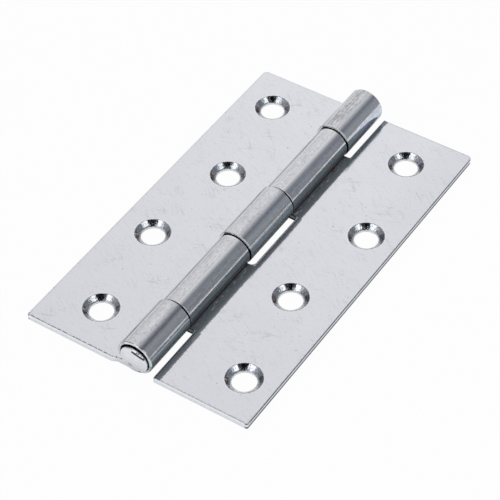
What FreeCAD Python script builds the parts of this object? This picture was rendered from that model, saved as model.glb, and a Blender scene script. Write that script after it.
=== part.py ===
import FreeCAD, Part
import math
import os
import Sketcher

# Narrow steel butt hinge, lying open and flat, millimetres.
# X runs across the leaves, Y along the knuckles, +Z up.
# The origin is on the resting plane, midway along the barrel, under the pin's axis.

doc = FreeCAD.newDocument("narrow_butt_hinge")
sheet = doc.addObject("Spreadsheet::Sheet", "Sizes")

# Driving sizes. The fits and clearances are named here too.
DRIVING = [
    ("leaf_length", 100.0, "length of both leaves along the pin"),
    ("left_width", 30.5, "three-knuckle leaf, pin axis to free edge"),
    ("right_width", 30.5, "two-knuckle leaf, pin axis to free edge"),
    ("gauge", 1.75, "thickness of the sheet"),
    ("pin_radius", 2.55, "plain length of the pin"),
    ("running_fit", 0.05, "radial clearance of the turning knuckles on the pin"),
    ("fixed_slack", 0.35, "how much wider the fixed knuckles are rolled than the pin"),
    ("seam_gap", 0.08, "gap left where a rolled end comes down on its own leaf"),
    ("slot_clearance", 0.55, "widest knuckle to the inner edge of the slots"),
    ("outer_knuckle", 15.9, "length of an end knuckle, measured from the leaf's end"),
    ("middle_knuckle", 18.0, "length of the middle knuckle"),
    ("end_play", 0.95, "how much shorter knuckles 2 and 4 are than their slots"),
    ("turning_shift", 0.125, "how far knuckles 2 and 4 sit towards the far end"),
    ("near_set_in", 0.6, "near end of knuckle 1, set in from the leaf's corner"),
    ("near_corner_radius", 0.5, "free corners of the leaves at the near end"),
    ("far_corner_radius", 1.2, "free corners of the leaves at the far end"),
    ("slot_radius", 0.5, "inner corners of the slots"),
    ("dull_slot_radius", 1.2, "inner corner beside the near end of knuckle 3"),
    ("rim_radius", 0.3, "sheared lower edges of the leaves and the barrel's two outer rims"),
    ("mouth_lip", 0.65, "wall left round the countersunk mouths of knuckles 1 and 5"),
    ("screw_hole_radius", 2.95, "straight part of a screw hole"),
    ("sink_radius", 4.35, "rim of a countersink"),
    ("sink_land", 0.5, "depth of the straight part of a screw hole"),
    ("hole_end_margin", 10.85, "end of the leaf to the first screw hole"),
    ("left_hole_margin", 9.3, "free edge to the outer row, three-knuckle leaf"),
    ("left_zigzag", 4.0, "outer row to inner row, three-knuckle leaf"),
    ("right_hole_margin", 8.0, "free edge to the outer row, two-knuckle leaf"),
    ("right_zigzag", 4.5, "outer row to inner row, two-knuckle leaf"),
    ("head_bite", 0.02, "how far a peened head is pressed into its mouth"),
    ("head_height", 0.6, "how far a head stands out before its dome"),
    ("head_dome", 0.3, "rise of a head's dome"),
    ("head_edge", 0.25, "rounding of a head's edge"),
]

# Sizes worked out from the driving ones.
WORKED = [
    ("half_length", "leaf_length / 2"),
    ("left_bore", "pin_radius + fixed_slack"),
    ("left_roll", "left_bore + gauge"),
    ("right_bore", "pin_radius + running_fit"),
    ("right_roll", "right_bore + gauge"),
    ("axis_height", "right_roll"),
    ("slot_reach", "left_roll + slot_clearance"),
    # Where each rolled end comes down on its own leaf, and the inner edge of that end.
    ("left_drop", "left_roll - gauge - seam_gap"),
    ("left_end_x", "sqrt(left_roll * left_roll - left_drop * left_drop)"),
    ("left_tip_x", "left_end_x * left_bore / left_roll"),
    ("right_drop", "right_roll - gauge - seam_gap"),
    ("right_end_x", "sqrt(right_roll * right_roll - right_drop * right_drop)"),
    ("right_tip_x", "right_end_x * right_bore / right_roll"),
    # Plan of the two blanks.
    ("near_end", "half_length - near_set_in"),
    ("first_end", "half_length - outer_knuckle"),
    ("middle_end", "middle_knuckle / 2"),
    ("two_near", "first_end - end_play / 2 - turning_shift"),
    ("two_far", "middle_end + end_play / 2 - turning_shift"),
    ("four_near", "middle_end + end_play / 2 + turning_shift"),
    ("four_far", "first_end - end_play / 2 + turning_shift"),
    ("roll_reach", "left_roll + 2"),
    ("left_beyond", "left_width + 1"),
    ("right_beyond", "right_width + 1"),
    ("end_beyond", "half_length + 1"),
    # The near edge slants in beside knuckle 1, two along the edge for each one in.
    ("slant_beyond", "slot_reach + 2 * (end_beyond - near_end)"),
    ("frame_x", "left_width + right_width"),
    ("frame_y", "leaf_length"),
    # Screw holes.
    ("hole_out", "half_length - hole_end_margin"),
    ("hole_in", "hole_out / 3"),
    ("left_row_out", "left_width - left_hole_margin"),
    ("left_row_in", "left_row_out - left_zigzag"),
    ("right_row_out", "right_width - right_hole_margin"),
    ("right_row_in", "right_row_out - right_zigzag"),
    ("sink_depth", "gauge - sink_land"),
    # Mouths of knuckles 1 and 5, which are cones about the roll's own centre line.
    ("mouth_radius", "left_roll - mouth_lip"),
    ("mouth_depth", "mouth_radius - left_bore"),
    ("near_mouth_end", "near_end - mouth_depth"),
    ("far_mouth_end", "half_length - mouth_depth"),
    # The pin and its two heads.
    ("pin_drop", "left_roll - right_roll"),
    ("head_radius", "mouth_radius - pin_drop + head_bite"),
    ("head_cone", "head_radius - pin_radius"),
    ("head_face_radius", "head_radius - head_edge"),
    ("near_neck", "near_end - head_cone"),
    ("near_side", "near_end + head_height - head_edge"),
    ("near_face", "near_end + head_height"),
    ("near_crown", "near_face + head_dome"),
    ("far_neck", "half_length - head_cone"),
    ("far_side", "half_length + head_height - head_edge"),
    ("far_face", "half_length + head_height"),
    ("far_crown", "far_face + head_dome"),
]

row = 1
for alias, value, note in DRIVING:
    sheet.set("A%d" % row, alias)
    sheet.set("B%d" % row, str(value))
    sheet.set("C%d" % row, note)
    sheet.setAlias("B%d" % row, alias)
    row += 1
for alias, formula in WORKED:
    sheet.set("A%d" % row, alias)
    sheet.set("B%d" % row, "=" + formula)
    sheet.setAlias("B%d" % row, alias)
    row += 1
doc.recompute()


def size(term):
    """Return the number for a term: a named size, its negative, or "0"."""
    if term == "0":
        return 0.0
    if term.startswith("-"):
        return -float(getattr(sheet, term[1:]))
    return float(getattr(sheet, term))


def formula_for(term):
    """Return the expression text for a term."""
    if term.startswith("-"):
        return "-Sizes." + term[1:]
    return "Sizes." + term


def origin_feature(body, role):
    """Return the body's own origin plane or axis with this role."""
    for feature in body.Origin.OriginFeatures:
        if feature.Role == role:
            return feature
    raise ValueError(role)


def add_body(name):
    """Add a body whose label names its file."""
    body = doc.addObject("PartDesign::Body", name)
    body.Label = name
    return body


def add_sketch(body, name, role):
    """Add a sketch that lies flat on one of the body's own origin planes."""
    sketch = body.newObject("Sketcher::SketchObject", name)
    sketch.AttachmentSupport = [(origin_feature(body, role), "")]
    sketch.MapMode = "FlatFace"
    return sketch


def fix_point(sketch, geo, pos, across, up):
    """Tie one vertex to named sizes; None leaves that coordinate free."""
    if across == "0":
        sketch.addConstraint(Sketcher.Constraint("PointOnObject", geo, pos, -2))
    elif across is not None:
        index = sketch.addConstraint(
            Sketcher.Constraint("DistanceX", -1, 1, geo, pos, size(across)))
        sketch.setExpression("Constraints[%d]" % index, formula_for(across))
    if up == "0":
        sketch.addConstraint(Sketcher.Constraint("PointOnObject", geo, pos, -1))
    elif up is not None:
        index = sketch.addConstraint(
            Sketcher.Constraint("DistanceY", -1, 1, geo, pos, size(up)))
        sketch.setExpression("Constraints[%d]" % index, formula_for(up))


def point(across, up):
    """Return the sketch point for two terms."""
    return FreeCAD.Vector(size(across), size(up), 0)


def add_line(sketch, start, end):
    """Draw one straight edge and return its index."""
    return sketch.addGeometry(Part.LineSegment(start, end), False)


def add_arc(sketch, centre, start, end):
    """Draw one arc that runs counter-clockwise from start to end."""
    first = math.atan2(start.y - centre.y, start.x - centre.x)
    last = math.atan2(end.y - centre.y, end.x - centre.x)
    if last < first:
        last += 2 * math.pi
    circle = Part.Circle(centre, FreeCAD.Vector(0, 0, 1), centre.distanceToPoint(start))
    return sketch.addGeometry(Part.ArcOfCircle(circle, first, last), False)


def join(sketch, geo_a, pos_a, geo_b, pos_b):
    """Make two edge ends one vertex."""
    sketch.addConstraint(Sketcher.Constraint("Coincident", geo_a, pos_a, geo_b, pos_b))


def add_polygon(sketch, terms):
    """Draw a closed polygon whose vertices are pairs of terms."""
    points = [point(across, up) for across, up in terms]
    count = len(points)
    edges = []
    for i in range(count):
        edges.append(add_line(sketch, points[i], points[(i + 1) % count]))
    for i in range(count):
        join(sketch, edges[i], 2, edges[(i + 1) % count], 1)
    for i in range(count):
        fix_point(sketch, edges[i], 1, terms[i][0], terms[i][1])


def add_rolled_section(body, side, width, roll, bore, end_x, tip_x, drop):
    """Draw the section of a flat leaf whose edge is rolled under, round and over the pin.

    side is "-" for a leaf that lies at negative X and "" for one at positive X.
    """
    mirror = -1.0 if side else 1.0
    other = "" if side else "-"
    sketch = add_sketch(body, "rolled_section", "XZ_Plane")
    centre = FreeCAD.Vector(0, size(roll), 0)
    bottom = FreeCAD.Vector(0, 0, 0)
    inside = FreeCAD.Vector(0, size("gauge"), 0)
    free_low = FreeCAD.Vector(mirror * size(width), 0, 0)
    free_high = FreeCAD.Vector(mirror * size(width), size("gauge"), 0)
    end = FreeCAD.Vector(mirror * size(end_x), size(roll) - size(drop), 0)
    shrink = size(bore) / size(roll)
    tip = FreeCAD.Vector(end.x * shrink, size(roll) - size(drop) * shrink, 0)

    under = add_line(sketch, free_low, bottom)
    if side:
        outer = add_arc(sketch, centre, bottom, end)
        inner = add_arc(sketch, centre, inside, tip)
        near, far = 1, 2
    else:
        outer = add_arc(sketch, centre, end, bottom)
        inner = add_arc(sketch, centre, tip, inside)
        near, far = 2, 1
    lip = add_line(sketch, end, tip)
    top = add_line(sketch, inside, free_high)
    edge = add_line(sketch, free_high, free_low)

    join(sketch, under, 2, outer, near)
    join(sketch, outer, far, lip, 1)
    join(sketch, lip, 2, inner, far)
    join(sketch, inner, near, top, 1)
    join(sketch, top, 2, edge, 1)
    join(sketch, edge, 2, under, 1)
    fix_point(sketch, under, 1, side + width, "0")
    fix_point(sketch, under, 2, "0", "0")
    fix_point(sketch, top, 1, "0", "gauge")
    fix_point(sketch, edge, 1, side + width, "gauge")
    fix_point(sketch, outer, 3, "0", roll)
    fix_point(sketch, inner, 3, "0", roll)
    fix_point(sketch, lip, 1, side + end_x, None)
    fix_point(sketch, lip, 2, side + tip_x, None)
    return sketch


def add_strip(body, section):
    """Extrude the rolled section equally to both sides of the middle plane."""
    strip = body.newObject("PartDesign::Pad", "rolled_strip")
    strip.Profile = section
    strip.SideType = "Symmetric"
    strip.setExpression("Length", "Sizes.leaf_length")
    return strip


def add_plan_cut(body, terms):
    """Remove all that lies outside the plan of the finished blank."""
    sketch = add_sketch(body, "blank_plan", "XY_Plane")
    frame = [("-frame_x", "-frame_y"), ("frame_x", "-frame_y"),
             ("frame_x", "frame_y"), ("-frame_x", "frame_y")]
    add_polygon(sketch, frame)
    add_polygon(sketch, terms)
    doc.recompute()
    cut = body.newObject("PartDesign::Pocket", "slots_and_ends")
    cut.Profile = sketch
    cut.SideType = "Symmetric"
    cut.setExpression("Length", "Sizes.leaf_length")
    return cut


def edges_where(feature, test):
    """Return the names of the feature's edges that pass a test."""
    names = []
    for number, edge in enumerate(feature.Shape.Edges, start=1):
        if test(edge):
            names.append("Edge%d" % number)
    return names


def is_upright_at(edge, distance):
    """Tell whether an edge is a straight upright one at this distance from the YZ plane."""
    if len(edge.Vertexes) != 2:
        return False
    first, last = edge.Vertexes[0].Point, edge.Vertexes[1].Point
    level = math.hypot(first.x - last.x, first.y - last.y) < 1e-4
    return level and abs(first.z - last.z) > 0.5 and abs(abs(first.x) - distance) < 1e-3


def add_fillet(body, name, base, names, radius):
    """Round some edges of a feature by a named radius."""
    fillet = body.newObject("PartDesign::Fillet", name)
    fillet.Base = (base, names)
    fillet.setExpression("Radius", "Sizes." + radius)
    return fillet


def round_free_corners(body, cut, width):
    """Round the two corners at a leaf's free side, the near one less than the far one."""
    near = add_fillet(
        body, "near_corner", cut,
        edges_where(cut, lambda e: is_upright_at(e, size(width)) and e.CenterOfMass.y < 0),
        "near_corner_radius")
    doc.recompute()
    far = add_fillet(
        body, "far_corner", near,
        edges_where(near, lambda e: is_upright_at(e, size(width)) and e.CenterOfMass.y > 0),
        "far_corner_radius")
    doc.recompute()
    return far


def add_screw_holes(body, side, row_in, row_out, first_row_in):
    """Drill four countersunk screw holes in a zigzag, seen from the face."""
    sketch = add_sketch(body, "screw_hole_centres", "XY_Plane")
    sketch.setExpression("AttachmentOffset.Base.z", "Sizes.gauge")
    stations = ["-hole_out", "-hole_in", "hole_in", "hole_out"]
    for number, station in enumerate(stations):
        inner = (number % 2 == 0) == first_row_in
        across = side + (row_in if inner else row_out)
        circle = Part.Circle(point(across, station), FreeCAD.Vector(0, 0, 1),
                             size("screw_hole_radius"))
        index = sketch.addGeometry(circle, False)
        fix_point(sketch, index, 3, across, station)
        limit = sketch.addConstraint(
            Sketcher.Constraint("Radius", index, size("screw_hole_radius")))
        sketch.setExpression("Constraints[%d]" % limit, "Sizes.screw_hole_radius")
    doc.recompute()
    hole = body.newObject("PartDesign::Hole", "countersunk_holes")
    hole.Profile = sketch
    hole.ThreadType = "None"
    hole.DepthType = "ThroughAll"
    hole.HoleCutType = "Countersink"
    hole.HoleCutCustomValues = True
    hole.setExpression("Diameter", "Sizes.screw_hole_radius * 2")
    hole.setExpression("HoleCutDiameter", "Sizes.sink_radius * 2")
    hole.setExpression(
        "HoleCutCountersinkAngle",
        "2 * atan((Sizes.sink_radius - Sizes.screw_hole_radius) / Sizes.sink_depth)")
    return hole


def add_mouths(body):
    """Countersink the outer ends of knuckles 1 and 5 for the pin's peened heads."""
    sketch = add_sketch(body, "mouth_profiles", "YZ_Plane")
    sketch.setExpression("AttachmentOffset.Base.y", "Sizes.left_roll")
    add_polygon(sketch, [("-near_end", "0"), ("-near_mouth_end", "0"),
                         ("-near_mouth_end", "left_bore"), ("-near_end", "mouth_radius")])
    add_polygon(sketch, [("half_length", "0"), ("half_length", "mouth_radius"),
                         ("far_mouth_end", "left_bore"), ("far_mouth_end", "0")])
    doc.recompute()
    mouths = body.newObject("PartDesign::Groove", "pin_mouths")
    mouths.Profile = sketch
    mouths.ReferenceAxis = (sketch, ["H_Axis"])
    mouths.Angle = 360.0
    return mouths


def is_rim_at(edge, radius, station):
    """Tell whether an edge is an arc of this radius in the plane Y = station."""
    if not isinstance(edge.Curve, Part.Circle):
        return False
    return abs(edge.Curve.Radius - radius) < 1e-4 and abs(edge.Curve.Center.y - station) < 1e-4


# Three-knuckle leaf: knuckles 1, 3 and 5, counted from the near end.
left = add_body("three_knuckle_leaf")
left_section = add_rolled_section(
    left, "-", "left_width", "left_roll", "left_bore", "left_end_x", "left_tip_x", "left_drop")
doc.recompute()
left_strip = add_strip(left, left_section)
doc.recompute()
left_cut = add_plan_cut(left, [
    ("-left_beyond", "-end_beyond"),
    ("-slant_beyond", "-end_beyond"),
    ("-slot_reach", "-near_end"),
    ("roll_reach", "-near_end"),
    ("roll_reach", "-first_end"),
    ("-slot_reach", "-first_end"),
    ("-slot_reach", "-middle_end"),
    ("roll_reach", "-middle_end"),
    ("roll_reach", "middle_end"),
    ("-slot_reach", "middle_end"),
    ("-slot_reach", "first_end"),
    ("roll_reach", "first_end"),
    ("roll_reach", "end_beyond"),
    ("-left_beyond", "end_beyond"),
])
doc.recompute()
left_corners = round_free_corners(left, left_cut, "left_width")
left_slots = add_fillet(
    left, "slot_corners", left_corners,
    edges_where(left_corners, lambda e: is_upright_at(e, size("slot_reach"))), "slot_radius")
doc.recompute()
left_rims = add_fillet(
    left, "rolled_under_edges", left_slots,
    edges_where(left_slots, lambda e: is_rim_at(e, size("left_roll"), -size("near_end"))
                or is_rim_at(e, size("left_roll"), size("half_length"))), "rim_radius")
doc.recompute()
left_mouths = add_mouths(left)
doc.recompute()
left_holes = add_screw_holes(left, "-", "left_row_in", "left_row_out", True)
doc.recompute()

# Two-knuckle leaf: knuckles 2 and 4, which turn on the pin.
right = add_body("two_knuckle_leaf")
right_section = add_rolled_section(
    right, "", "right_width", "right_roll", "right_bore", "right_end_x", "right_tip_x",
    "right_drop")
doc.recompute()
right_strip = add_strip(right, right_section)
doc.recompute()
right_cut = add_plan_cut(right, [
    ("slot_reach", "-end_beyond"),
    ("right_beyond", "-end_beyond"),
    ("right_beyond", "end_beyond"),
    ("slot_reach", "end_beyond"),
    ("slot_reach", "four_far"),
    ("-roll_reach", "four_far"),
    ("-roll_reach", "four_near"),
    ("slot_reach", "four_near"),
    ("slot_reach", "-two_far"),
    ("-roll_reach", "-two_far"),
    ("-roll_reach", "-two_near"),
    ("slot_reach", "-two_near"),
])
doc.recompute()
right_corners = round_free_corners(right, right_cut, "right_width")


def is_dull_corner(edge):
    """Tell whether an upright edge is the slot corner that a worn punch left dull."""
    if not is_upright_at(edge, size("slot_reach")):
        return False
    return abs(edge.Vertexes[0].Point.y + size("two_far")) < 1e-3


def is_slot_corner(edge):
    """Tell whether an upright edge is another inner corner of a slot, not an open end."""
    if not is_upright_at(edge, size("slot_reach")) or is_dull_corner(edge):
        return False
    return abs(edge.Vertexes[0].Point.y) < size("half_length") - 1


right_dull = add_fillet(
    right, "dull_slot_corner", right_corners, edges_where(right_corners, is_dull_corner),
    "dull_slot_radius")
doc.recompute()
right_slots = add_fillet(
    right, "slot_corners", right_dull, edges_where(right_dull, is_slot_corner), "slot_radius")
doc.recompute()


def is_lower_free_edge(edge):
    """Tell whether an edge is the lower one along the two-knuckle leaf's free side."""
    box = edge.BoundBox
    return box.ZMax < 1e-4 and box.XMin > size("right_width") - 1e-3


right_edges = add_fillet(
    right, "sheared_lower_edges", right_slots, edges_where(right_slots, is_lower_free_edge),
    "rim_radius")
doc.recompute()
right_holes = add_screw_holes(right, "", "right_row_in", "right_row_out", False)
doc.recompute()

# Fixed pin: a plain bar with a low domed head peened into each mouth.
pin = add_body("hinge_pin")
pin_profile = add_sketch(pin, "pin_profile", "YZ_Plane")
near_crown = point("-near_crown", "0")
near_rim = point("-near_face", "head_face_radius")
near_edge = point("-near_side", "head_radius")
far_edge = point("far_side", "head_radius")
far_rim = point("far_face", "head_face_radius")
far_crown = point("far_crown", "0")


def dome_centre(crown, rim):
    """Return the centre, on the axis, of the arc through a crown and a rim."""
    rise = rim.x - crown.x
    radius = (rim.y * rim.y + rise * rise) / (2 * abs(rise))
    return FreeCAD.Vector(crown.x + math.copysign(radius, rise), 0, 0)


near_dome = add_arc(pin_profile, dome_centre(near_crown, near_rim), near_rim, near_crown)
near_round = add_arc(
    pin_profile, point("-near_side", "head_face_radius"), near_edge, near_rim)
near_flank = add_line(pin_profile, near_edge, point("-near_end", "head_radius"))
near_cone = add_line(
    pin_profile, point("-near_end", "head_radius"), point("-near_neck", "pin_radius"))
shank = add_line(pin_profile, point("-near_neck", "pin_radius"), point("far_neck", "pin_radius"))
far_cone = add_line(
    pin_profile, point("far_neck", "pin_radius"), point("half_length", "head_radius"))
far_flank = add_line(pin_profile, point("half_length", "head_radius"), far_edge)
far_round = add_arc(
    pin_profile, point("far_side", "head_face_radius"), far_rim, far_edge)
far_dome = add_arc(pin_profile, dome_centre(far_crown, far_rim), far_crown, far_rim)
middle = add_line(pin_profile, far_crown, near_crown)
join(pin_profile, near_dome, 1, near_round, 2)
join(pin_profile, near_round, 1, near_flank, 1)
join(pin_profile, near_flank, 2, near_cone, 1)
join(pin_profile, near_cone, 2, shank, 1)
join(pin_profile, shank, 2, far_cone, 1)
join(pin_profile, far_cone, 2, far_flank, 1)
join(pin_profile, far_flank, 2, far_round, 2)
join(pin_profile, far_round, 1, far_dome, 2)
join(pin_profile, far_dome, 1, middle, 1)
join(pin_profile, middle, 2, near_dome, 2)
fix_point(pin_profile, near_dome, 2, "-near_crown", "0")
fix_point(pin_profile, near_dome, 1, "-near_face", "head_face_radius")
fix_point(pin_profile, near_dome, 3, None, "0")
fix_point(pin_profile, near_round, 1, "-near_side", "head_radius")
fix_point(pin_profile, near_round, 3, "-near_side", None)
fix_point(pin_profile, near_flank, 2, "-near_end", "head_radius")
fix_point(pin_profile, shank, 1, "-near_neck", "pin_radius")
fix_point(pin_profile, shank, 2, "far_neck", "pin_radius")
fix_point(pin_profile, far_flank, 1, "half_length", "head_radius")
fix_point(pin_profile, far_round, 2, "far_side", "head_radius")
fix_point(pin_profile, far_round, 3, "far_side", None)
fix_point(pin_profile, far_dome, 2, "far_face", "head_face_radius")
fix_point(pin_profile, far_dome, 3, None, "0")
fix_point(pin_profile, far_dome, 1, "far_crown", "0")
doc.recompute()
pin_turned = pin.newObject("PartDesign::Revolution", "turned_pin")
pin_turned.Profile = pin_profile
pin_turned.ReferenceAxis = (pin_profile, ["H_Axis"])
pin_turned.Angle = 360.0
pin.setExpression("Placement.Base.z", "Sizes.axis_height")
doc.recompute()

# Checks before anything is written.
for obj in doc.Objects:
    if "Invalid" in obj.State or "Error" in obj.State:
        raise RuntimeError("%s is %s" % (obj.Name, obj.State))
for obj in doc.Objects:
    if obj.isDerivedFrom("Sketcher::SketchObject"):
        freedom = obj.solve()
        if freedom != 0 or not obj.FullyConstrained:
            raise RuntimeError("%s in %s is not fully held" % (obj.Name, obj.getParentGeoFeatureGroup()))
for body in (left, right, pin):
    shape = body.Shape
    if shape.isNull() or not shape.isValid() or len(shape.Solids) != 1:
        raise RuntimeError("%s is not one valid solid" % body.Label)
if not left_holes.Shape.Volume < left_mouths.Shape.Volume < left_rims.Shape.Volume:
    raise RuntimeError("a cut in the three-knuckle leaf removed nothing")
if not right_holes.Shape.Volume < right_edges.Shape.Volume < right_strip.Shape.Volume:
    raise RuntimeError("a cut in the two-knuckle leaf removed nothing")

os.makedirs("parts", exist_ok=True)
for body in (left, right, pin):
    body.Shape.exportStep("parts/%s.step" % body.Label)
    box = body.Shape.BoundBox
    print(body.Label, round(body.Shape.Volume, 1), "mm3",
          [round(v, 3) for v in (box.XMin, box.XMax, box.YMin, box.YMax, box.ZMin, box.ZMax)])
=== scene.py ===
"""Narrow butt hinge: zinc finishes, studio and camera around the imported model.

Lengths in the finishes are millimetres, and everything handed to the scene is metres.
"""

import logging
import math
from dataclasses import dataclass
from enum import Enum
from typing import Any, Mapping, Optional, Sequence, Tuple, Union

import bpy
from mathutils import Matrix, Vector

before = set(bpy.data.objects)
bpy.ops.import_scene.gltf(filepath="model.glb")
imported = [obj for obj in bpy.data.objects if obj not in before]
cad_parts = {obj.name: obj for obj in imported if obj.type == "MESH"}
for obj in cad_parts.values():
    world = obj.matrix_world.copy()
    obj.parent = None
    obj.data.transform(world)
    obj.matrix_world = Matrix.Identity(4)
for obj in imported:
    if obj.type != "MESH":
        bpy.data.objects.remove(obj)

LOG = logging.getLogger("narrow_butt_hinge")
MM = 0.001
Triple = Tuple[float, float, float]
Colour = Triple


class Side(Enum):
    """Which leaf a finish is for, with the direction of its free edge along X."""

    THREE_KNUCKLES = -1
    TWO_KNUCKLES = 1


class KnuckleEnd(Enum):
    """Which ends of the knuckles a finish follows."""

    NEAR = 0
    FAR = 1


class Sock:
    """A node socket that takes part in Python arithmetic."""

    def __init__(self, graph: "Graph", socket: Optional[bpy.types.NodeSocket]) -> None:
        """Wrap one output socket of a graph, or none for a node without outputs."""
        self.graph = graph
        self.socket = socket

    def _with(self, operation: str, *values: "Value") -> "Sock":
        """Return one Math node's output for these values."""
        return self.graph.node("ShaderNodeMath", {"operation": operation}, dict(enumerate(values)))

    def __add__(self, other: "Value") -> "Sock":
        """Add."""
        return self._with("ADD", self, other)

    def __sub__(self, other: "Value") -> "Sock":
        """Subtract."""
        return self._with("SUBTRACT", self, other)

    def __rsub__(self, other: "Value") -> "Sock":
        """Subtract from a number."""
        return self._with("SUBTRACT", other, self)

    def __mul__(self, other: "Value") -> "Sock":
        """Multiply."""
        return self._with("MULTIPLY", self, other)

    def __truediv__(self, other: "Value") -> "Sock":
        """Divide."""
        return self._with("DIVIDE", self, other)

    def __pow__(self, other: "Value") -> "Sock":
        """Raise to a power."""
        return self._with("POWER", self, other)

    def __mod__(self, other: "Value") -> "Sock":
        """Take the floored remainder."""
        return self._with("FLOORED_MODULO", self, other)

    def __abs__(self) -> "Sock":
        """Take the size without the sign."""
        return self._with("ABSOLUTE", self)

    def least(self, other: "Value") -> "Sock":
        """Take the smaller of the two."""
        return self._with("MINIMUM", self, other)

    def most(self, other: "Value") -> "Sock":
        """Take the larger of the two."""
        return self._with("MAXIMUM", self, other)

    def root(self) -> "Sock":
        """Take the square root."""
        return self._with("SQRT", self)

    def floor(self) -> "Sock":
        """Take the whole number below."""
        return self._with("FLOOR", self)

    def rise(self, low: float, high: float) -> "Sock":
        """Go smoothly from 0 at low to 1 at high; low may be the larger of the two."""
        return self.graph.node(
            "ShaderNodeMapRange", {"interpolation_type": "SMOOTHSTEP", "clamp": True},
            {"Value": self, "From Min": low, "From Max": high, "To Min": 0.0, "To Max": 1.0})

    def band(self, centre: float, half: float, soft: float) -> "Sock":
        """Be 1 within half of a centre, falling to 0 over soft beyond it."""
        return abs(self - centre).rise(half + soft, half)

    def spread(self, low: float, high: float) -> "Sock":
        """Stretch 0 to 1 over low to high."""
        return self * (high - low) + low


Value = Union[float, int, Sock]
Input = Union[Value, Sequence[float]]


class Graph:
    """The nodes of one material or world."""

    def __init__(self, tree: bpy.types.NodeTree) -> None:
        """Start with an empty tree."""
        self.tree = tree
        tree.nodes.clear()

    def node(self, kind: str, settings: Optional[Mapping[str, Any]] = None,
             inputs: Optional[Mapping[Union[str, int], Input]] = None,
             output: Union[str, int] = 0) -> Sock:
        """Add a node, set it up and connect it.

        Args:
            kind: The node's type.
            settings: Its own properties; "stops" holds a colour ramp's stops.
            inputs: Numbers, colours or sockets by input name or place.
            output: The output to return.

        Returns:
            The chosen output.
        """
        made = self.tree.nodes.new(kind)
        for name, value in (settings or {}).items():
            if name == "stops":
                self._set_stops(made.color_ramp, value)
            else:
                setattr(made, name, value)
        for key, value in (inputs or {}).items():
            socket = self._input(made, key)
            if isinstance(value, Sock):
                self.tree.links.new(value.socket, socket)
            else:
                socket.default_value = value
        outputs = [s for s in made.outputs if s.enabled]
        if not outputs:
            return Sock(self, None)
        return Sock(self, made.outputs[output] if isinstance(output, str) else outputs[output])

    @staticmethod
    def _input(made: bpy.types.Node, key: Union[str, int]) -> bpy.types.NodeSocket:
        """Find an input among those in use, by its place or name."""
        live = [s for s in made.inputs if s.enabled]
        return live[key] if isinstance(key, int) else next(s for s in live if s.name == key)

    @staticmethod
    def _set_stops(ramp: bpy.types.ColorRamp, stops: Sequence[Tuple[float, Colour]]) -> None:
        """Give a ramp its stops.

        Args:
            ramp: The ramp.
            stops: The place and colour of each stop.
        """
        while len(ramp.elements) < len(stops):
            ramp.elements.new(0.5)
        for element, (place, colour) in zip(ramp.elements, stops):
            element.position = place
            element.color = (*colour, 1.0)

    def split(self, vector: Sock) -> Tuple[Sock, Sock, Sock]:
        """Return the three parts of a vector."""
        first = self.node("ShaderNodeSeparateXYZ", None, {0: vector})
        return tuple(Sock(self, part) for part in first.socket.node.outputs)

    def place(self) -> Sock:
        """Return the point on the surface, in the part's own frame, in millimetres."""
        metres = self.node("ShaderNodeTexCoord", None, None, "Object")
        return self.node(
            "ShaderNodeVectorMath", {"operation": "SCALE"}, {0: metres, "Scale": 1.0 / MM})

    def noise(self, vector: Sock, scale: float, detail: float, roughness: float) -> Sock:
        """Return smooth noise between 0 and 1, with scale in features for each unit."""
        return self.node(
            "ShaderNodeTexNoise", {"noise_dimensions": "3D"},
            {"Vector": vector, "Scale": scale, "Detail": detail, "Roughness": roughness})

    def field(self, x: Value, y: Value, z: Value, detail: float, roughness: float) -> Sock:
        """Return noise of one feature for each unit, at a point given by its three parts."""
        point = self.node("ShaderNodeCombineXYZ", None, {0: x, 1: y, 2: z})
        return self.noise(point, 1.0, detail, roughness)

    def stretch(self, vector: Sock, turn: float, factors: Triple) -> Sock:
        """Turn a vector about Z by some degrees, then scale it along each axis."""
        turned = self.node(
            "ShaderNodeVectorRotate", {"rotation_type": "Z_AXIS"},
            {"Vector": vector, "Angle": math.radians(turn)})
        return self.node(
            "ShaderNodeVectorMath", {"operation": "MULTIPLY"}, {0: turned, 1: factors})

    def mix(self, factor: Value, first: Input, second: Input, how: str = "MIX") -> Sock:
        """Mix two colours."""
        return self.node(
            "ShaderNodeMix", {"data_type": "RGBA", "blend_type": how, "clamp_factor": True},
            {"Factor": factor, "A": self._rgba(first), "B": self._rgba(second)})

    def blend(self, factor: Value, first: Value, second: Value) -> Sock:
        """Mix two numbers."""
        return self.node(
            "ShaderNodeMix", {"data_type": "FLOAT", "clamp_factor": True},
            {"Factor": factor, "A": first, "B": second})

    @staticmethod
    def _rgba(value: Input) -> Input:
        """Add the fourth number that a colour socket holds."""
        return value if isinstance(value, Sock) else (*value, 1.0)


def dimmed(colour: Colour, left: float) -> Colour:
    """Return a colour with a share of its brightness left."""
    return tuple(part * left for part in colour)


def new_material(name: str) -> Tuple[bpy.types.Material, Graph]:
    """Make an empty material.

    Args:
        name: The material's name.

    Returns:
        The material and its graph.
    """
    material = bpy.data.materials.new(name)
    material.use_nodes = True
    return material, Graph(material.node_tree)


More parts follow.
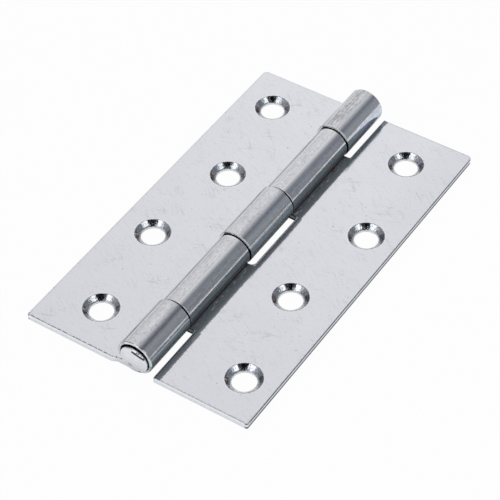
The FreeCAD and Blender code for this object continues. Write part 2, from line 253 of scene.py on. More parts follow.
@dataclass
class Coat:
    """A finish while its layers are laid on; its height is in millimetres."""

    graph: Graph
    colour: Input
    rough: Value
    height: Value
    matt_mask: Value = 0.0

    def lay(self, mask: Value, colour: Input, cover: float = 1.0) -> None:
        """Lay a colour on where the mask is 1, to cover a share of what is there."""
        share = mask if cover == 1.0 else mask * cover
        self.colour = self.graph.mix(share, self.colour, colour)

    def dull(self, mask: Value, base: Colour, left: float, cover: float = 1.0) -> None:
        """Lay a base colour on with a share of its brightness left."""
        self.lay(mask, dimmed(base, left), cover)

    def make_matt(self, mask: Value) -> None:
        """Note where the metal is made matt, for worn marks and for painted light and shade."""
        self.matt_mask = mask + self.matt_mask

    def roughen(self, mask: Value, rough: Value) -> None:
        """Bring the roughness to a value where the mask is 1."""
        self.rough = self.graph.blend(mask, self.rough, rough)

    def join(self, other: "Coat", there: Sock, here: Sock) -> None:
        """Give way to another coat.

        Args:
            other: The other coat.
            there: The mask of the other coat's place.
            here: The mask of this coat's place.
        """
        self.lay(there, other.colour)
        self.roughen(there, other.rough)
        self.height = self.height * here + there * other.height
        self.make_matt(other.matt_mask)

    def finish(self, metallic: Value) -> None:
        """Connect the coat to the material's output.

        Args:
            metallic: How much of the surface is bare metal.
        """
        bump = self.graph.node(
            "ShaderNodeBump", None, {"Strength": 1.0, "Distance": MM, "Height": self.height})
        shader = self.graph.node(
            "ShaderNodeBsdfPrincipled", None,
            {"Base Color": self.colour, "Metallic": metallic, "Roughness": self.rough,
             "Normal": bump})
        self.graph.node("ShaderNodeOutputMaterial", None, {"Surface": shader})


@dataclass(frozen=True)
class Leaf:
    """The sizes of one leaf that its finish follows, and how strong some of its wear is."""

    side: Side
    roll_radius: float
    # Where each knuckle starts and ends along Y.
    knuckles: Tuple[Tuple[float, float], ...]
    # How far out the two rows of screw holes are, the near end's row first.
    rows: Tuple[float, float]
    # Strength of the dark line at the near end, partly a burr and partly painted shade, and the
    # brightness that painted shade leaves on the barrel's right flank.
    near_burr_and_shade: float
    flank_shade_left: float
    # How far out the black line beside the slots is.
    slot_line: float
    gauge: float = 1.75
    free_edge: float = 30.5
    half_length: float = 50.0
    near_corner: float = 0.5
    far_corner: float = 1.2
    turning_radius: float = 4.35
    mouth_radius: float = 4.0
    hole_pitch: float = 26.1
    sink_radius: float = 4.35
    sink_land: float = 0.5
    # How far out along Y the end knuckles begin, and where the middle one ends.
    end_knuckles: float = 34.0
    middle_knuckle: float = 9.0

    def rolls(self, *shares: float) -> Tuple[float, ...]:
        """Turn shares of the roll's radius into millimetres."""
        return tuple(self.roll_radius * share for share in shares)


class LeafPlaces:
    """Where a point is on a leaf, as values in a material."""

    def __init__(self, graph: Graph, leaf: Leaf, seed: float) -> None:
        """Work out the places that a finish needs.

        Args:
            graph: The material's nodes.
            leaf: The leaf's sizes.
            seed: How far the noise is moved, so that the two leaves differ.
        """
        self.graph = graph
        self.leaf = leaf
        point = graph.place()
        self.shifted = graph.node(
            "ShaderNodeVectorMath", {"operation": "ADD"}, {0: point, 1: (seed, seed * 0.7, 0.0)})
        self.x, self.y, self.z = graph.split(point)
        self.seeded_x = self.x + seed
        self.outward = self.x * float(leaf.side.value)
        self.on_barrel = self.z.rise(leaf.gauge + 0.03, leaf.gauge + 0.25)
        self.on_sheet = 1.0 - self.on_barrel
        facing = graph.node("ShaderNodeTexCoord", None, None, "Normal")
        self.on_face = abs(graph.split(facing)[2]).rise(0.55, 0.9)
        self.wall = (1.0 - self.on_face) * self.on_sheet
        self.right_side = self.x.rise(1.0, 3.0)
        self.crest = self.z.rise(leaf.gauge - 0.50, leaf.gauge - 0.25) * self.on_sheet
        self.jagged = self.noise(3.1, 2.0, 0.7)

    def noise(self, scale: float, detail: float, roughness: float) -> Sock:
        """Return even noise with scale in features a millimetre."""
        return self.graph.noise(self.shifted, scale, detail, roughness)

    def drawn(self, turn: float, along: float, across: float, detail: float,
              roughness: float) -> Sock:
        """Return noise drawn out along a line that is turned some degrees from X."""
        stretched = self.graph.stretch(self.shifted, turn, (along, across, 1.0))
        return self.graph.noise(stretched, 1.0, detail, roughness)

    def round_barrel(self, across: float, along: float, detail: float, roughness: float) -> Sock:
        """Return noise with its own scale across the barrel and along it."""
        return self.graph.field(
            self.seeded_x * across, self.y * along, self.z * across, detail, roughness)

    def from_border(self) -> Sock:
        """Measure how far inside the leaf's rounded outline a point is.

        Returns:
            The distance in millimetres.
        """
        leaf = self.leaf
        corner = self.y.rise(1.0, -1.0) * (leaf.near_corner - leaf.far_corner) + leaf.far_corner
        across = self.outward - leaf.free_edge + corner
        along = abs(self.y) - leaf.half_length + corner
        beyond_x, beyond_y = across.most(0.0), along.most(0.0)
        beyond = (beyond_x * beyond_x + beyond_y * beyond_y).root()
        return corner - beyond - across.most(along).least(0.0)

    def from_hole(self) -> Tuple[Sock, Sock, Sock]:
        """Measure from the nearest screw hole.

        Returns:
            The distance from the hole's axis, and the way from it along X and along Y.
        """
        leaf = self.leaf
        shifted = self.y + 2.0 * leaf.hole_pitch
        row = (shifted / leaf.hole_pitch).floor() % 2.0
        centre = row * (leaf.rows[1] - leaf.rows[0]) + leaf.rows[0]
        along = shifted % leaf.hole_pitch - leaf.hole_pitch / 2
        across = self.x - centre * float(leaf.side.value)
        distance = (along * along + across * across).root()
        return distance, across / distance, along / distance

    def from_knuckle_end(self, *which: KnuckleEnd) -> Sock:
        """Return how far along Y the nearest knuckle end that faces another knuckle is.

        Args:
            *which: The ends that count.

        Returns:
            The distance, without a sign.
        """
        leaf = self.leaf
        nearest = None
        for station in (pair[end.value] for end in which for pair in leaf.knuckles):
            if abs(station) < leaf.half_length - 2.0:
                away = abs(self.y - station)
                nearest = away if nearest is None else nearest.least(away)
        return nearest

    def beside_knuckles(self) -> Sock:
        """Tell this leaf's own knuckles from its slots.

        Returns:
            1 along the knuckles and 0 along the slots, with a short change between them.
        """
        soft, inside = 0.08, 0.0
        for start, end in self.leaf.knuckles:
            inside = self.y.band((start + end) / 2, (end - start) / 2 - soft, soft) + inside
        return inside

    def round_axis(self, height: float) -> Sock:
        """Return the distance from a line along Y at this height above the table."""
        lifted = self.z - height
        return (self.x * self.x + lifted * lifted).root()


@dataclass(frozen=True)
class ZincSheet:
    """Bright zinc on pressed sheet: mirror-like faces, sheared edges and a streaked barrel."""

    leaf: Leaf
    seed: float
    sheet: Colour = (0.832, 0.838, 0.878)
    barrel: Colour = (0.79, 0.80, 0.835)
    # Tints of the painted shade on the barrel's right flank, along most of it and at the far end.
    flank_shade_tint: Colour = (0.97, 1.07, 1.04)
    far_flank_shade_tint: Colour = (0.93, 1.00, 1.12)
    # Colour of the painted highlight line low on the barrel's right side.
    wear_and_painted_highlight: Colour = (0.80, 0.86, 0.93)
    # Dark line along the edges, partly a burr and partly painted shade.
    burr_and_shade: Colour = (0.14, 0.13, 0.17)
    # Painted shaded and lit colours of the cut edges.
    edge_painted_shaded: Colour = (0.60, 0.645, 0.74)
    edge_painted_lit: Colour = (0.92, 0.945, 0.99)
    # Colour of the painted lit patch in the slots' ends.
    painted_slot_light: Colour = (0.60, 0.68, 0.72)
    white: Colour = (0.99, 0.99, 0.99)
    turned: Colour = (0.85, 0.88, 0.94)
    # Black of the painted shade in the gaps, the pin's mouths and the slots.
    gap_shade: Colour = (0.03, 0.03, 0.035)
    # Colour of the painted reflection of the barrel on the face beside it.
    painted_reflection: Colour = (0.235, 0.275, 0.305)
    rust: Colour = (0.22, 0.07, 0.045)
    seam: Colour = (0.06, 0.045, 0.045)
    # The two ways that the hairline scratches run, in degrees.
    hair_turns: Tuple[float, float] = (38.0, -21.0)
    # Height of the bright line along the barrel, in roll radii.
    bright_line: float = 1.505
    # How much of the metal's shine is taken away where it is made matt.
    matt_shine_loss: float = 0.85
    # Bands up the sheared sides and the slots' ends, for a painted highlight, the dark line at the
    # top of the sides and a painted lit patch: middle, half height and softness.
    painted_highlight_band: Triple = (1.16, 0.22, 0.08)
    burr_and_shade_band: Triple = (1.56, 0.14, 0.06)
    slot_band: Triple = (1.05, 0.22, 0.25)
    # Height where the painted shade at the foot of the sheared sides begins, and where it is full.
    shaded_foot: Tuple[float, float] = (0.84, 0.66)

    def build(self, name: str) -> bpy.types.Material:
        """Make the material.

        Args:
            name: The material's name.

        Returns:
            The material.
        """
        material, graph = new_material(name)
        spot = LeafPlaces(graph, self.leaf, self.seed)
        coat = self._plate(spot)
        coat.join(self._barrel(spot), spot.on_barrel, spot.on_sheet)
        for add in (self._sheared_edges, self._countersinks, self._seams, self._knuckle_ends):
            add(coat, spot)
        coat.finish(1.0 - coat.matt_mask.least(1.0) * self.matt_shine_loss)
        return material

    def _plate(self, spot: LeafPlaces) -> Coat:
        """Finish the flat faces: rippled, faintly clouded, pitted and crossed by scratches.

        Args:
            spot: The places on the leaf.

        Returns:
            The coat of the faces.
        """
        ripple = spot.noise(0.75, 3.0, 0.55)
        grain = spot.noise(7.0, 2.0, 0.6)
        cloud = spot.noise(0.16, 3.0, 0.6).rise(0.3, 0.7)
        specks = spot.noise(1.7, 1.0, 0.5).rise(0.665, 0.74)
        pits = spot.noise(1.25, 0.0, 0.5).rise(0.83, 0.87)
        dents = spot.noise(0.6, 0.0, 0.5).rise(0.70, 0.80)
        wiped = spot.drawn(28.0, 0.35, 1.7, 2.0, 0.6).rise(0.54, 0.72)
        patch = spot.noise(0.19, 1.0, 0.5).rise(0.52, 0.68)
        first, second = (
            abs(spot.drawn(turn, 0.09, 0.9, 1.0, 0.5) - 0.5).rise(0.022, 0.0)
            for turn in self.hair_turns)
        coat = Coat(
            spot.graph, self.sheet,
            rough=ripple * 0.04 + grain * 0.03 + specks * 0.10 + 0.08,
            height=ripple * 0.0065 + grain * 0.0004 - dents * 0.004 - specks * 0.0015)
        coat.dull(cloud, self.sheet, left=0.93, cover=0.25)
        if self.leaf.side is Side.TWO_KNUCKLES:
            far_corner = spot.outward.rise(16.0, 28.0) * spot.y.rise(0.0, 40.0)
            coat.dull(far_corner, self.sheet, left=0.90, cover=0.5)
        coat.dull(specks * 0.36 + wiped * 0.16, self.sheet, left=0.62)
        coat.dull(((first + second) * patch).least(1.0), self.sheet, left=0.55, cover=0.36)
        coat.dull(pits, self.sheet, left=0.30, cover=0.55)
        coat.dull(grain.rise(0.35, 0.75), self.sheet, left=0.70, cover=0.08)
        return coat

    def _barrel(self, spot: LeafPlaces) -> Coat:
        """Finish the rolled barrel, which is streaked along its length, with painted shade low on
        its sides and on its right flank.

        Args:
            spot: The places on the leaf.

        Returns:
            The coat of the barrel.
        """
        leaf, x, y, z = self.leaf, spot.x, spot.y, spot.z
        end = leaf.end_knuckles
        streaks = spot.round_barrel(1.5, 0.16, 4.0, 0.65)
        fine = spot.round_barrel(5.0, 0.7, 2.0, 0.6)
        grain = spot.round_barrel(4.0, 2.2, 2.0, 0.7)
        smudges = spot.round_barrel(0.6, 0.3, 3.0, 0.6)
        scored = spot.round_barrel(2.4, 0.9, 2.0, 0.6)
        tooth = spot.round_barrel(2.1, 1.2, 3.0, 0.75)
        flecks = spot.round_barrel(1.7, 1.3, 1.0, 0.5).rise(0.69, 0.75)
        far_end = y.rise(end + 1.0, end + 3.0) * x.band(-1.3, 0.8, 0.7)
        dashes = (scored + far_end * 0.13).rise(0.66, 0.72)
        coat = Coat(
            spot.graph, self.barrel,
            rough=smudges * 0.10 + streaks * 0.08 + grain * 0.05 + 0.03,
            height=streaks * 0.012 + fine * 0.0028 + tooth * 0.0075 + smudges * 0.006
            - dashes * 0.006)

        dark = streaks.rise(0.45, 0.70) * 0.24 + fine.rise(0.5, 0.8) * 0.16
        dark = dark + tooth.rise(0.42, 0.64) * 0.34
        dark = dark + grain.rise(0.4, 0.8) * 0.12 + dashes * (far_end * 0.65 + 0.3)
        last = y.rise(end, end + 1.0)
        crown = last * x.band(-0.9, 1.2, 0.9) * (streaks.rise(0.40, 0.60) * 0.45 + 0.08)
        dark = (dark + crown) * (1.0 - last * x.rise(-1.8, -2.8) * 0.6)
        coat.dull(dark.least(1.0), self.barrel, left=0.50)
        coat.lay(flecks, self.white, cover=0.8)
        # Painted shade: the right side below the bright line is darkened and tinted like the dark
        # room that it reflects, a little lighter and bluer towards the far end.
        flank = z.rise(*leaf.rolls(1.47, 1.38)) * spot.right_side
        tint = spot.graph.mix(
            y.rise(end + 1.0, end + 6.0), dimmed(self.flank_shade_tint, leaf.flank_shade_left),
            dimmed(self.far_flank_shade_tint, leaf.flank_shade_left * 1.06))
        coat.lay(flank, spot.graph.mix(1.0, coat.colour, tint, "MULTIPLY"))
        self._bright_line(coat, spot, smudges)
        # Painted shade low on the right side, and on the left side that turns under, with less of
        # it on the far left of some knuckles.
        under = z.rise(*leaf.rolls(0.98, 0.84)) * spot.right_side
        coat.dull(under, self.barrel, left=0.2, cover=0.55)
        cleared = y.band(-21.0, 12.0, 0.6) * 0.36
        cleared = cleared + y.band(0.0, leaf.middle_knuckle, 0.6) * 0.24 + 0.45
        turned_under = x.rise(*leaf.rolls(-0.50, -0.60)) * 0.81
        turned_under = turned_under - x.rise(*leaf.rolls(-0.63, -0.72)) * cleared
        coat.dull(turned_under, self.barrel, left=0.4)
        self._paint_shoulder_light(coat, spot)
        return coat

    def _bright_line(self, coat: Coat, spot: LeafPlaces, smudges: Sock) -> None:
        """Thin and break, with painted shade, the line that the room draws along the barrel's right
        side.

        Args:
            coat: The coat of the barrel.
            spot: The places on the leaf.
            smudges: The noise that breaks the line.
        """
        leaf, y, z, right = self.leaf, spot.y, spot.z, spot.right_side
        end = leaf.end_knuckles
        if leaf.side is Side.THREE_KNUCKLES:
            # On knuckles 1 and 3 the line is thinned with painted shade, and a painted highlight
            # line, made matt, lies lower down, most of all on knuckle 1.
            before_last = y.rise(end, end - 0.5)
            first = y.rise(1.0 - end, -end)
            thinned = z.band(*leaf.rolls(self.bright_line, 0.05, 0.02)) * right * before_last
            coat.dull(thinned * (0.55 - first * 0.15), self.barrel, left=0.30)
            wear_and_painted_highlight = (z + smudges * 0.5 - y * 0.012).band(*leaf.rolls(1.46, 0.032, 0.025))
            wear_and_painted_highlight = wear_and_painted_highlight * right * before_last * (first * 0.35 + 0.55)
            coat.lay(wear_and_painted_highlight, self.wear_and_painted_highlight)
            coat.make_matt(wear_and_painted_highlight)
        else:
            thinned = z.band(*leaf.rolls(self.bright_line, 0.025, 0.02)) * right
            coat.dull(thinned, self.barrel, left=0.42, cover=0.4)
        # Painted shade breaks the line here and there.
        broken = z.band(*leaf.rolls(1.45, 0.06, 0.03)) * right * smudges.rise(0.35, 0.62)
        coat.dull(broken, self.barrel, left=0.5, cover=0.45)

    def _paint_shoulder_light(self, coat: Coat, spot: LeafPlaces) -> None:
        """Even out the brightness of the barrel's right shoulder from knuckle to knuckle with
        painted highlights and painted shade.

        Args:
            coat: The coat of the barrel.
            spot: The places on the leaf.
        """
        leaf, x, y = self.leaf, spot.x, spot.y
        end, middle = leaf.end_knuckles, leaf.middle_knuckle
        if leaf.side is Side.TWO_KNUCKLES:
            coat.lay(x.band(*leaf.rolls(0.37, 0.13, 0.10)), self.white, cover=0.95)
            return
        on_first = x.band(*leaf.rolls(0.41, 0.05, 0.08)) * y.rise(1.0 - end, -1.0 - end)
        coat.dull(on_first, self.barrel, left=0.5, cover=0.35)
        on_others = x.band(*leaf.rolls(0.36, 0.10, 0.10)) * y.rise(-1.0 - middle, -middle)
        last = y.rise(end - 1.0, end + 1.0)
        coat.lay(on_others * (last * 0.25 + 0.25), self.white)
        coat.lay(x.band(*leaf.rolls(0.68, 0.12, 0.08)), self.white, cover=0.35)

    def _sheared_edges(self, coat: Coat, spot: LeafPlaces) -> None:
        """Finish the cut edges: a broken dark line at the top, partly a burr and partly painted
        shade, painted light and shade on the walls below, and painted highlights along the top
        edges.

        Args:
            coat: The coat so far.
            spot: The places on the leaf.
        """
        leaf, graph, z = self.leaf, spot.graph, spot.z
        wall, crest, jagged = spot.wall, spot.crest, spot.jagged
        is_left = leaf.side is Side.THREE_KNUCKLES
        broken = spot.noise(2.2, 2.0, 0.6)
        along_side = spot.outward.rise(leaf.free_edge - 0.9, leaf.free_edge - 0.4)
        near = spot.y.rise(1.1 - leaf.half_length, 0.6 - leaf.half_length)
        border = spot.from_border()
        # The ends of the leaf are painted lighter, as if lit from the front, and the sides darker:
        # painted light and shade. The sides get a painted highlight band and painted shade at their
        # foot.
        torn = graph.field(spot.x * 3.2, spot.y * 3.2, z * 0.5, 2.0, 0.6).rise(0.40, 0.68)
        ends = graph.mix(torn * 0.30, self.edge_painted_lit, dimmed(self.edge_painted_lit, 0.72))
        coat.lay(wall, ends)
        foot = z.rise(*self.shaded_foot)
        side = graph.mix(z.band(*self.painted_highlight_band), self.edge_painted_shaded, self.edge_painted_lit)
        side = graph.mix(foot, side, dimmed(self.edge_painted_shaded, 0.20))
        side = graph.mix(broken.rise(0.42, 0.62) * 0.25, side, dimmed(self.edge_painted_shaded, 0.6))
        low = (foot * spot.on_sheet * border.rise(0.4, 0.3)).most(wall)
        coat.lay(low * along_side, side)
        # The dark line, partly a burr and partly painted shade: at the top of the sides, and a
        # broken one round the face.
        top = z.band(*self.burr_and_shade_band) * wall * along_side
        coat.dull(top * broken.rise(0.30, 0.60).spread(0.80, 1.0), self.edge_painted_shaded, left=0.10)
        # Painted highlight along the rounded top edge of the face, on the three-knuckle leaf.
        if is_left:
            painted_edge_highlight = border.rise(0.36, 0.24) * crest * spot.on_face * (1.0 - near)
            coat.lay(painted_edge_highlight, self.white)
        line = (border + jagged * 0.24).band(0.40, 0.08, 0.08) * crest
        on_side = spot.y.rise(48.6, 49.2).most(1.0 if is_left else 0.0)
        strength = near * (broken.rise(0.44, 0.54) * 0.85 + 0.08) * leaf.near_burr_and_shade
        strength = strength + (1.0 - near) * (broken.rise(0.60, 0.68) * 0.45 + on_side * 0.20)
        coat.lay((line * spot.on_face * strength).least(1.0), self.burr_and_shade)
        # Painted glints along the near edge.
        glints = near * border.rise(0.13, 0.08) * crest * jagged.rise(0.50, 0.58)
        coat.lay(glints, self.white)
        self._slot_edges(coat, spot)
        if not is_left:
            self._paint_barrel_reflection(coat, spot)
        self._slot_ends(coat, spot)
        coat.roughen(wall, broken * 0.2 + 0.12)
        coat.roughen(line * strength.least(1.0) * 0.7, 0.35)

    def _slot_edges(self, coat: Coat, spot: LeafPlaces) -> None:
        """Paint a highlight on the plate's edge along the slots, made matt white, with a black line
        beside it.

        Args:
            coat: The coat so far.
            spot: The places on the leaf.
        """
        leaf, y = self.leaf, spot.y
        beside_slot = spot.crest * (1.0 - spot.beside_knuckles())
        crooked = y.band(0.0, leaf.middle_knuckle, 5.0) * 0.36
        crooked = crooked + y.rise(20.0, leaf.end_knuckles) * 0.22
        past_line = spot.outward - crooked - leaf.slot_line
        wear_and_painted_highlight = past_line.rise(-0.08, -0.16) * beside_slot
        coat.lay(wear_and_painted_highlight, self.white)
        coat.make_matt(wear_and_painted_highlight)
        coat.dull(past_line.band(0.0, 0.06, 0.08) * beside_slot, self.gap_shade, left=0.5)

    def _paint_barrel_reflection(self, coat: Coat, spot: LeafPlaces) -> None:
        """Paint a ragged dark strip on the face where it goes down beside the barrel: a painted
        reflection of the barrel.

        Args:
            coat: The coat so far.
            spot: The places on the leaf.
        """
        beside, jagged = spot.beside_knuckles(), spot.jagged
        reach = spot.y * -0.006 + 6.70 - beside * 0.28
        past = spot.outward - reach + (jagged - 0.5) * 0.9
        inner = past + beside * 1.6
        strip = past.rise(0.12, -0.04) * inner.rise(-1.35, -1.05) * 0.85
        strip = strip * spot.z.rise(1.5, 1.65) * spot.on_sheet * spot.on_face
        coat.make_matt(strip)
        coat.lay(strip, spot.graph.mix(
            jagged.rise(0.40, 0.62), self.painted_reflection, dimmed(self.painted_reflection, 0.7)))

    def _slot_ends(self, coat: Coat, spot: LeafPlaces) -> None:
        """Darken the slots' end walls with painted shade, but for a painted lit patch in the
        middle.

        Args:
            coat: The coat so far.
            spot: The places on the leaf.
        """
        in_slot = spot.from_knuckle_end(KnuckleEnd.NEAR, KnuckleEnd.FAR).rise(1.6, 1.2)
        in_slot = in_slot * spot.wall * spot.outward.rise(6.6, 6.2)
        lit = spot.z.band(*self.slot_band) * spot.jagged.rise(0.35, 0.50)
        coat.lay(in_slot, self.gap_shade, cover=0.95)
        coat.lay(in_slot * lit, self.painted_slot_light)

    def _countersinks(self, coat: Coat, spot: LeafPlaces) -> None:
        """Finish the turned countersinks, which are mirror-like and a little chattered.

        Args:
            coat: The coat so far.
            spot: The places on the leaf.
        """
        leaf, graph, z = self.leaf, spot.graph, spot.z
        distance, way_x, way_y = spot.from_hole()
        inside = distance.rise(leaf.sink_radius + 0.03, leaf.sink_radius - 0.05)
        cone = inside * z.rise(leaf.sink_land - 0.05, leaf.sink_land + 0.1)
        rings = graph.field(distance * 6.0, way_x * 1.2, way_y * 1.2, 2.0, 0.6)
        brushed = graph.field(way_x * 9.0, way_y * 9.0, distance * 0.7, 3.0, 0.7)
        apart = spot.x * 0.3 + spot.y * 0.4
        chatter = graph.field(way_x * 6.5 + apart, way_y * 6.5, distance * 1.1, 3.0, 0.7)
        blots = spot.noise(2.3, 3.0, 0.65)
        coat.lay(cone, self.turned)
        wear_and_painted_highlight = rings.rise(0.5, 0.66) * 0.20 + brushed.rise(0.46, 0.58) * 0.34
        wear_and_painted_highlight = wear_and_painted_highlight + blots.rise(0.52, 0.62) * 0.40
        coat.dull(cone * wear_and_painted_highlight.least(1.0), self.turned, left=0.35)
        # Painted shade: the lower right of each wall is dark to the rim; the lower left has a
        # lighter patch.
        lower_right = (way_x * 0.97 + way_y * 0.05).rise(0.45, 0.80)
        lower_left = (way_x * -0.35 + way_y * -0.94).rise(0.45, 0.80)
        shade = lower_right * brushed.rise(0.38, 0.54).spread(0.30, 0.95)
        shade = shade.most(lower_left * brushed.rise(0.40, 0.54).spread(0.0, 0.80))
        coat.dull(cone * shade, self.turned, left=0.26)
        # Painted shade on the upper left of each wall.
        upper_left = (way_x * -0.996 + way_y * -0.084).rise(0.80, 0.90)
        coat.dull(cone * upper_left, self.turned, left=0.35, cover=0.5)
        # A ragged dark patch of painted shade lies at the top, and a rust stain at the lower left.
        crown = (way_x * -0.57 + way_y * 0.82).rise(0.90, 0.99) * 0.45
        crown = crown + distance.rise(3.2, 4.3) * 0.20 + chatter * 0.6
        crown = crown + spot.noise(4.5, 2.0, 0.7) * 1.1
        coat.dull(cone * crown.rise(1.22, 1.30), self.turned, left=0.09)
        stain = (way_x * -0.80 + way_y * -0.60).rise(0.90, 0.985) * cone
        stain = stain * distance.rise(3.35, 3.75) * blots.rise(0.40, 0.52)
        coat.dull(stain, self.rust, left=0.5, cover=0.95)
        # Painted highlight: the land below the cone is white and partly matt.
        land = inside * (1.0 - cone)
        coat.lay(land, self.white)
        coat.make_matt(land * 0.6)
        coat.roughen(cone, rings * 0.06 + 0.03)
        # The rim: a painted highlight on a lip outside, and a broken dark edge on it, partly a burr
        # and partly painted shade, stronger towards the front.
        lip = distance.band(leaf.sink_radius + 0.20, 0.05, 0.08) * spot.on_face
        coat.lay(lip * blots.rise(0.62, 0.45).spread(0.2, 0.75), self.white)
        downward = (way_x * 0.57 + way_y * -0.82).rise(-0.30, 0.75)
        edge = distance.band(leaf.sink_radius + 0.04, 0.07, 0.06) * z.rise(1.5, 1.6)
        edge_strength = blots.rise(0.40, 0.52) * 0.62 + downward * 0.35
        coat.lay(edge * edge_strength.least(1.0), self.burr_and_shade)
        coat.height = coat.height + cone * (rings * 0.004 + chatter * 0.075 + blots * 0.042)

    def _seams(self, coat: Coat, spot: LeafPlaces) -> None:
        """Mark the seam where the rolled end comes down: a dark line, rust, and white streaks that
        are partly rubbed marks and partly a painted reflection of the barrel's bright line.

        Args:
            coat: The coat so far.
            spot: The places on the leaf.
        """
        beside = spot.beside_knuckles() * spot.on_sheet * spot.on_face
        broken = spot.drawn(0.0, 1.6, 0.45, 2.0, 0.6)
        streaks = spot.drawn(0.0, 5.0, 0.5, 2.0, 0.6)
        crack = (spot.outward + broken * 0.5).rise(4.20, 3.92) * beside
        coat.lay(crack, self.seam, cover=0.75)
        rusted = spot.outward.band(4.0, 0.25, 0.35) * beside * broken.rise(0.55, 0.64)
        coat.lay(rusted, self.rust, cover=0.9)
        matt_mask = spot.outward.band(4.6, 0.25, 0.35) * beside * streaks.rise(0.60, 0.66)
        coat.lay(matt_mask, self.white)
        coat.make_matt(matt_mask * 0.5)
        coat.roughen((crack + matt_mask).least(1.0), 0.5)

    def _knuckle_ends(self, coat: Coat, spot: LeafPlaces) -> None:
        """Finish the knuckles' ends: painted shade, black in the gaps and in the pin's mouths and
        dark beside the rims, and painted highlights on the rims.

        Args:
            coat: The coat so far.
            spot: The places on the leaf.
        """
        leaf, z, on_barrel = self.leaf, spot.z, spot.on_barrel
        inner, outer = leaf.turning_radius, leaf.mouth_radius
        chips = spot.noise(1.5, 2.0, 0.6)
        turning = spot.round_axis(inner)
        from_near = spot.from_knuckle_end(KnuckleEnd.NEAR)
        from_far = spot.from_knuckle_end(KnuckleEnd.FAR)
        at_end = from_near.least(from_far).rise(0.06, 0.02) * on_barrel
        gap_shade = at_end * turning.rise(inner + 0.03, inner - 0.08)
        mouth = spot.round_axis(leaf.roll_radius) + (chips - 0.5) * 0.6
        mouth = mouth.rise(outer + 0.04, outer - 0.06)
        gap_shade = gap_shade.most(mouth * abs(spot.y).rise(46.5, 47.5) * on_barrel)
        right_side = spot.x.rise(1.6, 2.4)
        if leaf.side is Side.THREE_KNUCKLES:
            # The larger knuckles stand above their neighbours: their near rims get a painted
            # highlight, and their far ends painted shade and a painted highlight on top.
            rim_highlight = from_near.rise(0.32, 0.20) * turning.rise(inner - 0.02, inner + 0.06)
            rim_highlight = rim_highlight * z.rise(*leaf.rolls(1.30, 1.50)) * spot.x.rise(-2.2, -0.6)
            rim_highlight = rim_highlight * chips.rise(0.62, 0.48).spread(0.35, 1.0)
            low = right_side * z.rise(*leaf.rolls(1.93, 1.86))
            dark = from_far.rise(0.24, 0.14) * low
            last = spot.y.rise(48.0, 49.0)
            shine = from_far.rise(0.22, 0.14) * z.rise(*leaf.rolls(1.93, 1.97))
            coat.lay(shine * (1.0 - last) * on_barrel, self.white, cover=0.55)
            line = from_far.band(0.24, 0.03, 0.06) * (1.0 - low) * 0.22
            dark = dark.most(line.most(from_far.rise(0.42, 0.20) * last * 0.6))
        else:
            # Their near rims stand clear low on the right and get a painted highlight there; their
            # far rims get a painted highlight, and their far ends a line of painted shade.
            rim_highlight = from_near.rise(0.34, 0.22) * right_side
            rim_highlight = rim_highlight * z.band(*leaf.rolls(1.64, 0.20, 0.05))
            dark = from_far.rise(0.10, 0.04)
            shine = from_far.band(0.30, 0.08, 0.08) * z.rise(*leaf.rolls(1.80, 1.92))
            coat.lay(shine * on_barrel, self.white, cover=0.8)
        rim_highlight = rim_highlight * on_barrel
        coat.lay(rim_highlight, self.white)
        coat.make_matt(rim_highlight * (1.0 - gap_shade))
        coat.lay((dark * on_barrel).least(1.0), self.gap_shade)
        coat.lay(gap_shade, self.gap_shade)
        coat.roughen(rim_highlight, 0.4)
        coat.roughen(gap_shade, 0.6)


